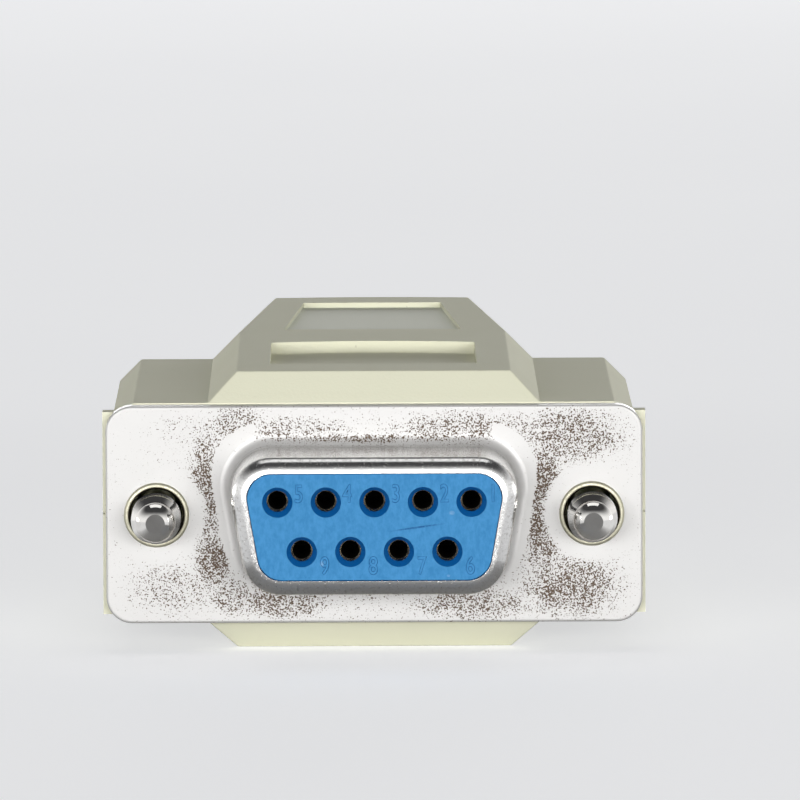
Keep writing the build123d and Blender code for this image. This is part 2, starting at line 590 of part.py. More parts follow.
# Pieces that come in a left and a right copy
for side, sign in (("left", -1), ("right", 1)):
    axis_x = sign * HOLE_SPACING / 2
    spin = Axis((axis_x, 0, 0), (0, 1, 0))

    # eyelet: rolled front rim, tube through both flanges and a tail in the hood
    with BuildPart() as eyelet:
        with BuildSketch(Plane.XY):
            with BuildLine():
                ThreePointArc(
                    (axis_x + EYELET_BORE_R, -EYELET_RIM_T / 2),
                    (axis_x + (EYELET_BORE_R + EYELET_RIM_R) / 2, -EYELET_RIM_T),
                    (axis_x + EYELET_RIM_R, 0),
                )
                Polyline(
                    (axis_x + EYELET_RIM_R, 0),
                    (axis_x + EYELET_R, 0),
                    (axis_x + EYELET_R, TAIL_FRONT),
                    (axis_x + EYELET_TAIL_R, TAIL_FRONT),
                    (axis_x + EYELET_TAIL_R, TAIL_BACK),
                    (axis_x + EYELET_BORE_R, TAIL_BACK),
                    (axis_x + EYELET_BORE_R, -EYELET_RIM_T / 2),
                )
            make_face()
        revolve(axis=spin)
    eyelet.part.label = f"{side}_eyelet"
    export_step(eyelet.part, f"parts/{side}_eyelet.step")

    # jackscrew: domed nose, thread at its crest size, shank with a ring groove
    dome_y = TIP_DOME - TIP_REACH
    bulge_x = axis_x + (TIP_FLAT_R + TIP_R) / 2 + TIP_BULGE
    bulge_y = dome_y - TIP_DOME / 2 - TIP_BULGE
    thread_y = TIP_L - TIP_REACH
    with BuildPart() as jackscrew:
        with BuildSketch(Plane.XY):
            with BuildLine():
                Polyline(
                    (axis_x, SHANK_END),
                    (axis_x, -TIP_REACH),
                    (axis_x + TIP_FLAT_R, -TIP_REACH),
                )
                ThreePointArc(
                    (axis_x + TIP_FLAT_R, -TIP_REACH),
                    (bulge_x, bulge_y),
                    (axis_x + TIP_R, dome_y),
                )
                Polyline(
                    (axis_x + TIP_R, dome_y),
                    (axis_x + TIP_R, thread_y),
                    (axis_x + THREAD_R, thread_y + LEAD_L),
                    (axis_x + THREAD_R, 0),
                    (axis_x + SHANK_R, THREAD_R - SHANK_R),
                    (axis_x + SHANK_R, RING_Y - 2 * SLIP),
                    (axis_x + GROOVE_R, RING_Y - 2 * SLIP),
                    (axis_x + GROOVE_R, RING_Y + RING_T + 2 * SLIP),
                    (axis_x + SHANK_R, RING_Y + RING_T + 2 * SLIP),
                    (axis_x + SHANK_R, SHANK_END),
                    (axis_x, SHANK_END),
                )
            make_face()
        revolve(axis=spin)
    jackscrew.part.label = f"{side}_jackscrew"
    export_step(jackscrew.part, f"parts/{side}_jackscrew.step")

    # knob: fluted grip pressed on the shank, with a driver slot behind
    with BuildPart() as knob:
        with BuildSketch(section(KNOB_FRONT)):
            with Locations((axis_x, 0)):
                Circle(KNOB_R)
        extrude(amount=-KNOB_L)
        chamfer(knob.edges().filter_by(GeomType.CIRCLE), KNOB_EDGE)
        with BuildSketch(section(KNOB_FRONT)):
            with Locations((axis_x, 0)):
                with PolarLocations(KNOB_R, FLUTES):
                    Circle(FLUTE_R)
        extrude(amount=-KNOB_L, mode=Mode.SUBTRACT)
        with BuildSketch(section(KNOB_FRONT)):
            with Locations((axis_x, 0)):
                Circle(SHANK_R)
        extrude(amount=-KNOB_BORE_L, mode=Mode.SUBTRACT)
        with BuildSketch(section(KNOB_BACK)):
            with Locations((axis_x, 0)):
                Rectangle(2 * KNOB_R, SLOT_W)
        extrude(amount=SLOT_DEPTH, mode=Mode.SUBTRACT)
    knob.part.label = f"{side}_knob"
    export_step(knob.part, f"parts/{side}_knob.step")

    # retaining ring: open clip in the screw's groove, free to slide in its room
    with BuildPart() as ring:
        with BuildSketch(section(RING_Y)):
            with Locations((axis_x, 0)):
                Circle(RING_R)
                Circle(RING_BORE_R, mode=Mode.SUBTRACT)
                Rectangle(RING_GAP, RING_R, align=(Align.CENTER, Align.MIN), mode=Mode.SUBTRACT)
        extrude(amount=-RING_T)
    ring.part.label = f"{side}_retaining_ring"
    export_step(ring.part, f"parts/{side}_retaining_ring.step")

    # closing screw: sunk pan head with a cross, cut into the upper half's post
    with BuildPart() as hood_screw:
        with BuildSketch(Plane.XY.offset(SEAT_Z)):
            with Locations((sign * SCREW_X, SCREW_Y)):
                Circle(SCREW_HEAD_R)
        extrude(amount=-SCREW_HEAD_L)
        fillet(hood_screw.edges().sort_by(Axis.Z)[0], SCREW_HEAD_L / 2)
        with BuildSketch(Plane.XY.offset(SEAT_Z)):
            with Locations((sign * SCREW_X, SCREW_Y)):
                Circle(SCREW_R)
        extrude(amount=SCREW_TIP - SEAT_Z)
        chamfer(hood_screw.edges().sort_by(Axis.Z)[-1], SCREW_R / 2)
        with BuildSketch(Plane.XY.offset(SEAT_Z - SCREW_HEAD_L)):
            with Locations((sign * SCREW_X, SCREW_Y)):
                Rectangle(CROSS_L, CROSS_W)
                Rectangle(CROSS_W, CROSS_L)
        extrude(amount=CROSS_DEPTH, mode=Mode.SUBTRACT)
    hood_screw.part.label = f"{side}_hood_screw"
    export_step(hood_screw.part, f"parts/{side}_hood_screw.step")
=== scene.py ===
# %% [markdown]
# # A nine-way socket connector in a cable hood
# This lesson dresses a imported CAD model. The CAD nodes are the fixed frame: they stay where they
# are, and each gets a finish. A few pieces are modelled anew where a finish alone can't carry the
# detail: the threaded screws and the raised numerals.

# %% load the frame
import bpy
import math
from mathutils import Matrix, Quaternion, Vector


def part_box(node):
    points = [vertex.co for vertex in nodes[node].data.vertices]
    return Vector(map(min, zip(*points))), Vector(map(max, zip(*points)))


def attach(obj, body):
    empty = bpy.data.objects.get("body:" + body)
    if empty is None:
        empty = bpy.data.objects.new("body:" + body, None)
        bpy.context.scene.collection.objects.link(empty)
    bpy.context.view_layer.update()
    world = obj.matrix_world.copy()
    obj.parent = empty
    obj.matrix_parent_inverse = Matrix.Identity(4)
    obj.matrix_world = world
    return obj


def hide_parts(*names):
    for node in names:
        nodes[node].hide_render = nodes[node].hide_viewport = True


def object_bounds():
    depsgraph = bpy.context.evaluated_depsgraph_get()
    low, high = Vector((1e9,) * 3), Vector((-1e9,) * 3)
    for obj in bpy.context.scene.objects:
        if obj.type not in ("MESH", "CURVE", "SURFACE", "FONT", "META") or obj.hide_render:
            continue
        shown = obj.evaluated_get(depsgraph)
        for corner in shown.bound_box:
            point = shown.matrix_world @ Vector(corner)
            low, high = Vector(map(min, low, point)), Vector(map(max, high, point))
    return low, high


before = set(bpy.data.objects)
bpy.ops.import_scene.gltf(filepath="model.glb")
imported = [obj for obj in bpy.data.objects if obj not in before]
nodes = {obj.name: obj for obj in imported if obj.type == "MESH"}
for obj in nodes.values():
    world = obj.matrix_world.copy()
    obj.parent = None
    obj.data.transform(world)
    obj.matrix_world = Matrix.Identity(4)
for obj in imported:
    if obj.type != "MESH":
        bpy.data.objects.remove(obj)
cad_low, cad_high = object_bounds()
MM = 0.001
bpy.context.scene.view_settings.view_transform = "Standard"
bpy.ops.object.select_all(action="DESELECT")
print("loaded", len(nodes), "nodes, box", [round(v / MM, 2) for v in (cad_high - cad_low)], "mm")

# %% [markdown]
# ## Camera
# A long lens from a little over half a metre away looks at the mating face, about seven degrees
# from above. A long lens keeps the flange's edges parallel, which a close wide lens would not.
# The camera is turned with a direction and then rolled by a small angle about its own axis.

# %% camera
CAMERA_PLACE = (-0.00128, -0.56937, 0.07067)
bpy.ops.object.camera_add(location=CAMERA_PLACE)
camera = bpy.context.object
yaw, pitch, roll = math.radians(0.280), math.radians(-6.421), math.radians(-0.203)
look = Vector((math.sin(yaw) * math.cos(pitch), math.cos(yaw) * math.cos(pitch), math.sin(pitch)))
camera.rotation_mode = "QUATERNION"
camera.rotation_quaternion = look.to_track_quat("-Z", "Y") @ Quaternion((0, 0, 1), roll)
camera.data.lens = 449.7
camera.data.sensor_width = 36
bpy.context.scene.camera = camera
print("camera lens", camera.data.lens, "mm")

# %% [markdown]
# ## Node helpers
# Every finish below is a small node tree. `put` adds a node with its settings and links in one
# call, and the others are thin wrappers for the nodes used most. `millimetres` gives the surface
# point in millimetres, so that a pattern's scale can be read as repeats per millimetre.

# %% node helpers
def put(tree, kind, inputs=None, **settings):
    node = tree.nodes.new(kind)
    for key, value in settings.items():
        setattr(node, key, value)
    for key, value in (inputs or {}).items():
        if isinstance(value, bpy.types.NodeSocket):
            tree.links.new(value, node.inputs[key])
        else:
            node.inputs[key].default_value = value
    return node


def millimetres(tree):
    place = put(tree, "ShaderNodeTexCoord").outputs["Object"]
    return put(
        tree, "ShaderNodeMapping", {"Vector": place, "Scale": (1 / MM, 1 / MM, 1 / MM)},
    ).outputs[0]


def split_axes(tree, point):
    axes = put(tree, "ShaderNodeSeparateXYZ", {0: point})
    return [axes.outputs[name] for name in "XYZ"]


def math_node(tree, operation, a, b=0.0, c=0.0):
    return put(tree, "ShaderNodeMath", {0: a, 1: b, 2: c}, operation=operation).outputs[0]


def times(tree, a, b):
    return math_node(tree, "MULTIPLY", a, b)


def times_plus(tree, a, factor, extra):
    return math_node(tree, "MULTIPLY_ADD", a, factor, extra)


def larger(tree, a, b):
    return math_node(tree, "MAXIMUM", a, b)


def ease(tree, value, low, high, to_low=0.0, to_high=1.0):
    return put(
        tree, "ShaderNodeMapRange",
        {"Value": value, "From Min": low, "From Max": high, "To Min": to_low, "To Max": to_high},
        interpolation_type="SMOOTHSTEP",
    ).outputs[0]


def between(tree, value, rise, fall):
    """1 between two soft limits, each given as its start and its end."""
    return times(tree, ease(tree, value, *rise), ease(tree, value, *fall, 1, 0))


def noise(tree, point, scale, detail=3.0, rough=0.5, offset=(0, 0, 0), stretch=(1, 1, 1)):
    moved = put(
        tree, "ShaderNodeMapping", {"Vector": point, "Location": offset, "Scale": stretch},
    ).outputs[0]
    return put(
        tree, "ShaderNodeTexNoise",
        {"Vector": moved, "Scale": scale, "Detail": detail, "Roughness": rough},
    ).outputs["Fac"]


def tint(tree, amount, first, second):
    """Mix two colours, each a plain colour or the output of another node."""
    first, second = [
        colour if isinstance(colour, bpy.types.NodeSocket) else (*colour, 1)
        for colour in (first, second)
    ]
    return put(
        tree, "ShaderNodeMix", {"Factor": amount, "A": first, "B": second}, data_type="RGBA",
    ).outputs["Result"]


def patch(tree, point, centre, half, soft):
    """1 inside an ellipse of the x-z plane, given in millimetres, with a soft border."""
    x, z = centre
    rx, rz = half
    shrunk = put(
        tree, "ShaderNodeMapping",
        {"Vector": point, "Location": (-x / rx, 0, -z / rz), "Scale": (1 / rx, 0, 1 / rz)},
    ).outputs[0]
    reach = put(tree, "ShaderNodeVectorMath", {0: shrunk}, operation="LENGTH").outputs["Value"]
    return ease(tree, reach, 1 - soft, 1 + soft, 1, 0)


print("helpers ready")

# %% [markdown]
# ## Floor
# A pale floor carries the connector. It looks pale to the camera and in reflections without
# lighting the object more, because its glow is switched by the kind of ray. Straight ahead its
# reflection is darker, as with a dark card in front, so that bright metal gets the contrast that
# shows its shape. More lamp light would make the floor pale too, but would bleach the object.

# %% floor
FLOOR_SIZE = 6
FLOOR_GLOW = 0.58
CARD_EDGE = (16, 30)
bpy.ops.mesh.primitive_plane_add(size=FLOOR_SIZE, location=(0, 0, cad_low.z))
floor = bpy.context.object
floor.name = "floor"
bpy.ops.object.transform_apply(location=True)

pale = bpy.data.materials.new("pale_floor")
pale.use_nodes = True
tree = pale.node_tree
tree.nodes.clear()
seen = put(tree, "ShaderNodeLightPath").outputs
point = millimetres(tree)
paper = tint(tree, noise(tree, point, 0.02, 2), (0.54, 0.54, 0.55), (0.58, 0.58, 0.58))
matt = put(tree, "ShaderNodeBsdfDiffuse", {"Color": paper})
aside = math_node(tree, "ABSOLUTE", split_axes(tree, point)[0])
mirrored = larger(tree, seen["Is Transmission Ray"], seen["Is Glossy Ray"])
mirrored = times(tree, mirrored, ease(tree, aside, *CARD_EDGE))
direct = larger(tree, mirrored, seen["Is Camera Ray"])
glow = put(
    tree, "ShaderNodeEmission",
    {"Color": (0.97, 0.98, 1, 1), "Strength": times(tree, direct, FLOOR_GLOW)},
)
both = put(tree, "ShaderNodeAddShader", {0: matt.outputs[0], 1: glow.outputs[0]})
put(tree, "ShaderNodeOutputMaterial", {"Surface": both.outputs[0]})
floor.data.materials.append(pale)
print("floor at", round(cad_low.z / MM, 2), "mm")

# %% [markdown]
# ## Backdrop
# The world is the backdrop. It is pale to the camera and in reflections, and gives only a little
# light of its own. It darkens upwards, so that rounded metal shows a gradient and not one flat
# tone. A wall behind the object could do this too, but only for views from the front.

# %% backdrop
SKY_LIGHT, SKY_SEEN = 0.14, 1.0
SKY_FADE = (0.2, 0.8)
world = bpy.data.worlds.new("studio")
bpy.context.scene.world = world
world.use_nodes = True
tree = world.node_tree
tree.nodes.clear()
seen = put(tree, "ShaderNodeLightPath").outputs
direct = larger(tree, seen["Is Camera Ray"], seen["Is Glossy Ray"])
direct = larger(tree, direct, seen["Is Transmission Ray"])
way_up = split_axes(tree, put(tree, "ShaderNodeTexCoord").outputs["Generated"])[2]
sky = tint(tree, ease(tree, way_up, *SKY_FADE), (1, 1, 1), (0.05, 0.05, 0.052))
air = put(
    tree, "ShaderNodeBackground",
    {"Color": sky, "Strength": times_plus(tree, direct, SKY_SEEN - SKY_LIGHT, SKY_LIGHT)},
)
put(tree, "ShaderNodeOutputWorld", {"Surface": air.outputs[0]})
print("backdrop lights with", SKY_LIGHT, "and is seen as", SKY_SEEN)

# %% [markdown]
# ## Soft boxes
# Two low soft boxes beside the camera light the mating face evenly and leave the hood's top in
# half shade. Weaker ones light the sides, a low one the rear, and a weak one overhead keeps the
# top readable from above. Area lamps are used because a small lamp would leave hard shadows.

# %% soft boxes
FACE, HOOD = (0, 0, 0), (0, 0.02, 0)


def soft_box(name, place, aim, size, watts):
    bpy.ops.object.light_add(type="AREA", location=place)
    lamp = bpy.context.object
    lamp.name = name
    lamp.data.shape = "RECTANGLE"
    lamp.data.size, lamp.data.size_y = size
    lamp.data.energy = watts
    lamp.rotation_euler = (Vector(aim) - Vector(place)).to_track_quat("-Z", "Y").to_euler()
    return lamp


lamps = [
    soft_box("front_left_soft_box", (-0.33, -0.98, 0.11), FACE, (0.45, 0.30), 6.5),
    soft_box("front_right_soft_box", (0.33, -0.98, 0.11), FACE, (0.45, 0.30), 6.5),
    soft_box("left_soft_box", (-1.0, 0.40, 0.07), HOOD, (0.6, 0.20), 1.3),
    soft_box("right_soft_box", (1.0, 0.40, 0.07), HOOD, (0.6, 0.20), 1.3),
    soft_box("rear_soft_box", (0.1, 1.10, 0.12), HOOD, (0.8, 0.24), 6.4),
    soft_box("top_soft_box", (0, 0.25, 1.05), HOOD, (0.8, 0.6), 1.5),
]
print(len(lamps), "soft boxes")

# %% [markdown]
# ## Helpers for a finish
# Each finish starts as an empty node tree with one Principled shader, which does for plastic and
# metal alike. `wire` sets or links the shader's sockets by name, `bump` turns a height into a
# normal, and `dress` gives CAD nodes their material.

# %% finish helpers
def finish(name):
    material = bpy.data.materials.new(name)
    material.use_nodes = True
    tree = material.node_tree
    tree.nodes.clear()
    surface = put(tree, "ShaderNodeBsdfPrincipled")
    put(tree, "ShaderNodeOutputMaterial", {"Surface": surface.outputs[0]})
    return material, tree, surface


def wire(tree, surface, **sockets):
    for key, value in sockets.items():
        name = key.replace("_", " ").title().replace("Ior", "IOR")
        if isinstance(value, bpy.types.NodeSocket):
            tree.links.new(value, surface.inputs[name])
        else:
            surface.inputs[name].default_value = value


def bump(tree, height, strength, depth_mm):
    return put(
        tree, "ShaderNodeBump",
        {"Height": height, "Strength": strength, "Distance": depth_mm * MM},
    ).outputs[0]


def dress(material, *names):
    for name in names:
        nodes[name].data.materials.clear()
        nodes[name].data.materials.append(material)
    return len(names)


print("finish helpers ready")

# %% [markdown]
# ## Hood plastic
# The hood is moulded in a warm light beige with a fine spark-eroded grain. The label recess is
# polished smoother than the rest. Grain comes from a fine noise used as bump, the smooth field is
# found from the point's height and depth, and a slow noise shifts the colour a little. Noise in
# three dimensions needs no unwrapping and has no seams, which suits a moulded surface.

# %% hood plastic
LABEL_FRONT, LABEL_BACK = (25.4, 25.6), (40.9, 41.1)
LABEL_UNDER, LABEL_OVER = (7.60, 7.68), (7.74, 7.80)
hood_plastic, tree, surface = finish("hood_plastic")
point = millimetres(tree)
_, depth, height = split_axes(tree, point)
level = math_node(tree, "ABSOLUTE", height)
field = times(
    tree, between(tree, depth, LABEL_FRONT, LABEL_BACK), between(tree, level, LABEL_UNDER, LABEL_OVER),
)
grain = noise(tree, point, 5.5, 3, 0.6)
slow = noise(tree, point, 0.12, 2)
speck = ease(tree, noise(tree, point, 2.2, 1, 0.4, (13, 5, 7)), 0.80, 0.83)
beige = tint(tree, slow, (0.785, 0.780, 0.605), (0.82, 0.815, 0.645))
smooth = tint(tree, field, beige, (0.775, 0.79, 0.665))
dotted = tint(tree, times(tree, speck, 0.35), smooth, (0.40, 0.37, 0.28))
gloss = times_plus(tree, field, -0.12, ease(tree, grain, 0.3, 0.7, 0.74, 0.86))
rough_height = times(tree, grain, times_plus(tree, field, -0.8, 1.0))
wire(
    tree, surface, base_color=dotted, roughness=gloss, specular_ior_level=0.06,
    normal=bump(tree, rough_height, 0.35, 0.03),
)
print("hood plastic on", dress(hood_plastic, "hood_upper", "hood_lower"), "nodes")

# %% [markdown]
# ## Where the tin plate is speckled
# The shells are pressed from tin-plated steel, and the flange is pitted with fine dark speckles.
# Soft ellipses say where they crowd together, each with its centre, its half sizes and its weight,
# and the heaviest one wins. Round the screw holes the plate was pressed smooth and stays white.
# A painted mask could say the same, but ellipses need no image and are easy to move.

# %% speckled patches
SCREW_X = 12.495
CLEAN_Z, CLEAN_R = 0.1, 2.75
CROWD_SOFT = 0.62
crowds = [
    ((-9.55, 1.6), (1.1, 3.6), 1.0), ((-9.3, -2.7), (1.1, 1.8), 1.05),
    ((-7.9, 5.2), (1.7, 1.1), 0.82), ((-4.6, 4.9), (3.4, 0.75), 0.74),
    ((-11.5, -4.3), (2.8, 1.6), 0.66), ((-5.4, -5.1), (3.1, 0.95), 0.92),
    ((9.7, 0.4), (1.15, 4.6), 1.08), ((11.3, 4.5), (3.1, 1.6), 0.9),
    ((11.3, -4.2), (3.0, 1.8), 1.0), ((5.2, 5.0), (4.2, 0.95), 0.82),
    ((5.6, -5.2), (3.6, 1.0), 0.88), ((0, -0.4), (13.8, 5.9), 0.5),
    ((-0.6, 4.4), (6.3, 0.26), 0.9), ((-4.6, -4.5), (2.9, 0.3), 0.95),
    ((4.9, -4.5), (2.7, 0.3), 0.9), ((-8.2, -4.7), (1.5, 1.1), 0.84),
    ((8.1, 4.9), (1.3, 0.9), 0.74), ((-11.0, 4.9), (1.6, 1.0), 0.42),
]


def without(tree, amount, mask):
    """The amount, taken away where the mask is 1."""
    return times_plus(tree, times(tree, mask, amount), -1.0, amount)


tin_plate, tree, surface = finish("tin_plate")
point = millimetres(tree)
along, depth, height = split_axes(tree, point)
crowd = 0.0
for centre, half, weight in crowds:
    crowd = larger(tree, times(tree, patch(tree, point, centre, half, CROWD_SOFT), weight), crowd)
for x in (-SCREW_X, SCREW_X):
    crowd = without(tree, crowd, patch(tree, point, (x, CLEAN_Z), (CLEAN_R, CLEAN_R), 0.1))
print("tin plate with", len(crowds), "speckled patches")

# %% [markdown]
# ## The burnished band beside the cup
# Where the D cup rises from the flange, the drawing tool has rubbed a band smooth, so no speckles
# show there. The band is measured as the distance from a straight-sided core inside the D, because
# a rounded D lies at one distance from such a core. It is kept to the cup's sides, and fades out
# towards the bottom. The two lean values are the cosine and sine of the sides' ten degrees.

# %% burnished band
LEAN_ACROSS, LEAN_UP = 0.985, -0.174
CORE_X, CORE_Z = 5.23, 1.65
BAND_EDGE, BAND_START, BAND_FOOT = (3.55, 3.72), (6.5, 7.1), (-3.7, -2.9)
across = math_node(tree, "ABSOLUTE", along)
slant = times_plus(tree, across, LEAN_ACROSS, times(tree, height, LEAN_UP))
beside = larger(tree, math_node(tree, "SUBTRACT", slant, CORE_X), 0.0)
level = math_node(tree, "ABSOLUTE", height)
over = larger(tree, math_node(tree, "SUBTRACT", level, CORE_Z), 0.0)
offset = put(tree, "ShaderNodeCombineXYZ", {0: beside, 1: over}).outputs[0]
from_cup = put(tree, "ShaderNodeVectorMath", {0: offset}, operation="LENGTH").outputs["Value"]
band = times(tree, ease(tree, from_cup, *BAND_EDGE, 1, 0), ease(tree, across, *BAND_START))
band = times(tree, band, ease(tree, height, *BAND_FOOT))
crowd = without(tree, crowd, band)
print("band reaches", BAND_EDGE[1], "mm from the core")

# %% [markdown]
# ## Matt flange and bright drawn walls
# The flange is matt tin, only partly metallic, so that it looks white under soft light. The cup's
# walls were stretched over a punch and are bright metal with fine streaks along the draw. The
# point's depth tells them apart. The speckles are a fine noise cut at a threshold that the crowd
# lowers, and they are dull, brown and slightly sunk.

# %% flange and walls
FLANGE_FACE = (-0.65, -0.35)
RIM = (-5.9, -4.9)
PITS_PER_MM = 11.0
CUT_CLEAN, CUT_DROP = 0.735, -0.28
SPECKLE_EDGE = (-0.04, 0.085)
front = ease(tree, depth, *FLANGE_FACE)
walls = math_node(tree, "SUBTRACT", 1.0, front)
crowd = times(tree, crowd, times_plus(tree, front, 0.85, 0.15))
pits = noise(tree, point, PITS_PER_MM, 1.6, 0.5, (3.1, 7.7, 1.9))
uneven = ease(tree, noise(tree, point, 0.95, 2, 0.5, (4, 1, 6)), 0.34, 0.66, 0.86, 1.08)
cut = times_plus(tree, times(tree, crowd, uneven), CUT_DROP, CUT_CLEAN)
speckle = ease(tree, math_node(tree, "SUBTRACT", pits, cut), *SPECKLE_EDGE)
streaks = noise(tree, point, 1.4, 4, 0.65, (0, 0, 0), (4.0, 0.35, 4.0))
cloud = noise(tree, point, 0.35, 3)
white = tint(tree, cloud, (0.525, 0.518, 0.508), (0.575, 0.568, 0.558))
drawn = tint(tree, ease(tree, streaks, 0.50, 0.72), (0.80, 0.795, 0.785), (0.52, 0.51, 0.49))
plate = tint(tree, walls, white, drawn)
pitted = tint(tree, times(tree, speckle, 0.95), plate, (0.075, 0.040, 0.016))
satin = ease(tree, cloud, 0.3, 0.7, 0.42, 0.47)
bright = ease(tree, streaks, 0.3, 0.7, 0.16, 0.28)
gloss = times_plus(tree, math_node(tree, "SUBTRACT", bright, satin), walls, satin)
gloss = times_plus(tree, speckle, 0.2, gloss)
drawn_lines = times(tree, times_plus(tree, streaks, 2.0, pits), walls)
drawn_lines = times(tree, drawn_lines, ease(tree, depth, *RIM, 0.15, 1.0))
dent = times_plus(tree, speckle, -1.0, times(tree, drawn_lines, 0.8))
wire(
    tree, surface, base_color=pitted, metallic=ease(tree, walls, 0.0, 1.0, 0.3, 1.0),
    roughness=gloss, normal=bump(tree, dent, 0.4, 0.02),
)
print("tin plate on", dress(tin_plate, "front_shell", "rear_shell"), "nodes")

# %% [markdown]
# ## Blue insulator
# The contact carrier is moulded in a clear mid blue. Its face has flow lines, a few pale specks
# and one fine scratch between the rows. The scratch is a stretched ellipse, tilted by a Mapping
# node. The specks are a noise cut near its peaks, and three small ellipses, because a noise can't
# put a speck at a chosen place. The countersinks are painted a darker blue, found from the point's
# depth, as painted shade in the cones.

# %% blue insulator
COUNTERSINK = (-5.945, -5.90)
SCRATCH_TILT = math.radians(8.0)
SPECKS = [((4.4, 0.8), (0.13, 0.10)), ((4.2, -2.8), (0.08, 0.06)), ((-3.0, -2.1), (0.10, 0.14))]
insulator_blue, tree, surface = finish("insulator_blue")
point = millimetres(tree)
flow = noise(tree, point, 3.6, 4, 0.65, (0, 0, 0), (1.0, 1.0, 0.55))
fine = noise(tree, point, 9, 2, 0.5)
blue = tint(tree, ease(tree, flow, 0.3, 0.7), (0.034, 0.212, 0.46), (0.056, 0.265, 0.545))
# painted shade: the countersinks are coloured a darker blue, found from the point's depth
sunk = ease(tree, split_axes(tree, point)[1], *COUNTERSINK)
shaded_blue = tint(tree, sunk, blue, (0.005, 0.140, 0.43))
turned = put(
    tree, "ShaderNodeMapping", {"Vector": point, "Rotation": (0, SCRATCH_TILT, 0)},
).outputs[0]
scratch = patch(tree, turned, (2.42, -0.366), (1.2, 0.05), 0.6)
scratch = times(tree, scratch, ease(tree, fine, 0.35, 0.6, 0.4, 1.0))
marked = tint(tree, scratch, shaded_blue, (0.012, 0.10, 0.28))
dust = ease(tree, noise(tree, point, 3.4, 1, 0.4, (21, 3, 9)), 0.80, 0.83)
for centre, half in SPECKS:
    dust = larger(tree, dust, times(tree, patch(tree, point, centre, half, 0.6), fine))
dusted = tint(tree, times(tree, dust, 0.5), marked, (0.42, 0.60, 0.78))
ripple = times_plus(tree, flow, 0.6, times(tree, fine, 0.4))
wire(
    tree, surface, base_color=dusted, roughness=ease(tree, flow, 0.3, 0.7, 0.40, 0.52),
    specular_ior_level=0.12, normal=bump(tree, ripple, 0.25, 0.03),
)
print("blue insulator on", dress(insulator_blue, "front_insulator", "rear_insulator"), "nodes")

# %% [markdown]
# ## Plated metals
# The eyelets are pale brass with their bores painted near black as painted shade, the jackscrews
# bright nickel, the rings dull spring steel and the closing screws zinc. They share one recipe: a
# metal whose colour and gloss wander a little with two noises. Painted shade, where a metal has it,
# is laid over its colour.

# %% plated metals
def plated(name, light, dark, gloss, scale, pit=0.15, painted_shade=None):
    material, tree, surface = finish(name)
    point = millimetres(tree)
    wander = noise(tree, point, scale, 3, 0.55)
    fine = noise(tree, point, scale * 9, 2, 0.5, (5, 3, 8))
    colour = tint(tree, ease(tree, wander, 0.3, 0.7), dark, light)
    if painted_shade:
        colour = painted_shade(tree, point, colour)
    wire(
        tree, surface, base_color=colour, metallic=1.0,
        roughness=ease(tree, fine, 0.25, 0.75, gloss * 0.75, gloss * 1.3),
        normal=bump(tree, fine, pit, 0.01),
    )
    return material


# painted shade: the eyelets' bores are coloured near black, as shade in the holes
def tarnished_bores(tree, point, colour):
    bore_r = 1.63
    left, right = [patch(tree, point, (x, 0), (bore_r, bore_r), 0.02) for x in (-SCREW_X, SCREW_X)]
    return tint(tree, larger(tree, left, right), colour, (0.05, 0.042, 0.03))


# the eyelets get painted shade in their bores
eyelet_brass = plated(
    "eyelet_brass", (0.60, 0.58, 0.46), (0.52, 0.50, 0.385), 0.55, 1.2, painted_shade=tarnished_bores,
)
screw_nickel = plated("screw_nickel", (0.90, 0.89, 0.86), (0.80, 0.78, 0.75), 0.07, 0.9, 0.1)
ring_steel = plated("ring_steel", (0.52, 0.52, 0.53), (0.38, 0.37, 0.36), 0.35, 1.0)
closing_screw_zinc = plated(
    "closing_screw_zinc", (0.74, 0.75, 0.77), (0.60, 0.60, 0.61), 0.25, 0.9,
)
dressed = dress(eyelet_brass, "left_eyelet", "right_eyelet")
dressed += dress(ring_steel, "left_retaining_ring", "right_retaining_ring")
dressed += dress(closing_screw_zinc, "left_hood_screw", "right_hood_screw")
print("plated metals on", dressed, "nodes")

# %% [markdown]
# ## Contacts and knobs
# The contacts are gilt brass. Inside their bores they are painted near black and made dull, as
# painted shade in the narrow holes. The point's depth tells the bore from the rest, which keeps the
# nine holes black under any light. The knobs take a slightly darker and glossier plastic than the
# hood, with the same kind of grain.

# %% contacts and knobs
BORE_FRONT, BORE_BACK = (-4.95, -4.5), (0.9, 1.2)
contact_brass, tree, surface = finish("contact_brass")
point = millimetres(tree)
# painted shade: inside the bore the contacts are coloured near black
shaded_bore = between(tree, split_axes(tree, point)[1], BORE_FRONT, BORE_BACK)
wander = noise(tree, point, 2.5, 3, 0.6)
gilt = tint(tree, wander, (0.24, 0.215, 0.165), (0.42, 0.385, 0.31))
wire(
    tree, surface, base_color=tint(tree, shaded_bore, gilt, (0.012, 0.011, 0.010)), metallic=1.0,
    roughness=times_plus(tree, shaded_bore, 0.4, ease(tree, wander, 0.3, 0.7, 0.2, 0.32)),
)

knob_plastic, tree, surface = finish("knob_plastic")
point = millimetres(tree)
grain = noise(tree, point, 6, 3, 0.6)
slow = noise(tree, point, 0.3, 2)
wire(
    tree, surface, base_color=tint(tree, slow, (0.60, 0.59, 0.47), (0.66, 0.65, 0.53)),
    roughness=ease(tree, grain, 0.3, 0.7, 0.42, 0.55), normal=bump(tree, grain, 0.3, 0.02),
)
dressed = dress(contact_brass, *[f"contact_{number}" for number in range(1, 10)])
dressed += dress(knob_plastic, "left_knob", "right_knob")
print("contacts and knobs on", dressed, "nodes")

# %% [markdown]
# ## Turned core of a jackscrew
# Each jackscrew has a domed nose, a short plain tip, a shank and a groove for its ring. A disc is
# extruded along the axis and resized at each step to make the core, as on a lathe. Each step is a
# distance from the nose and a radius, in millimetres, and the dome's steps lie on an arc. Spinning
# a profile would do as well, but the steps read like a turner's list.

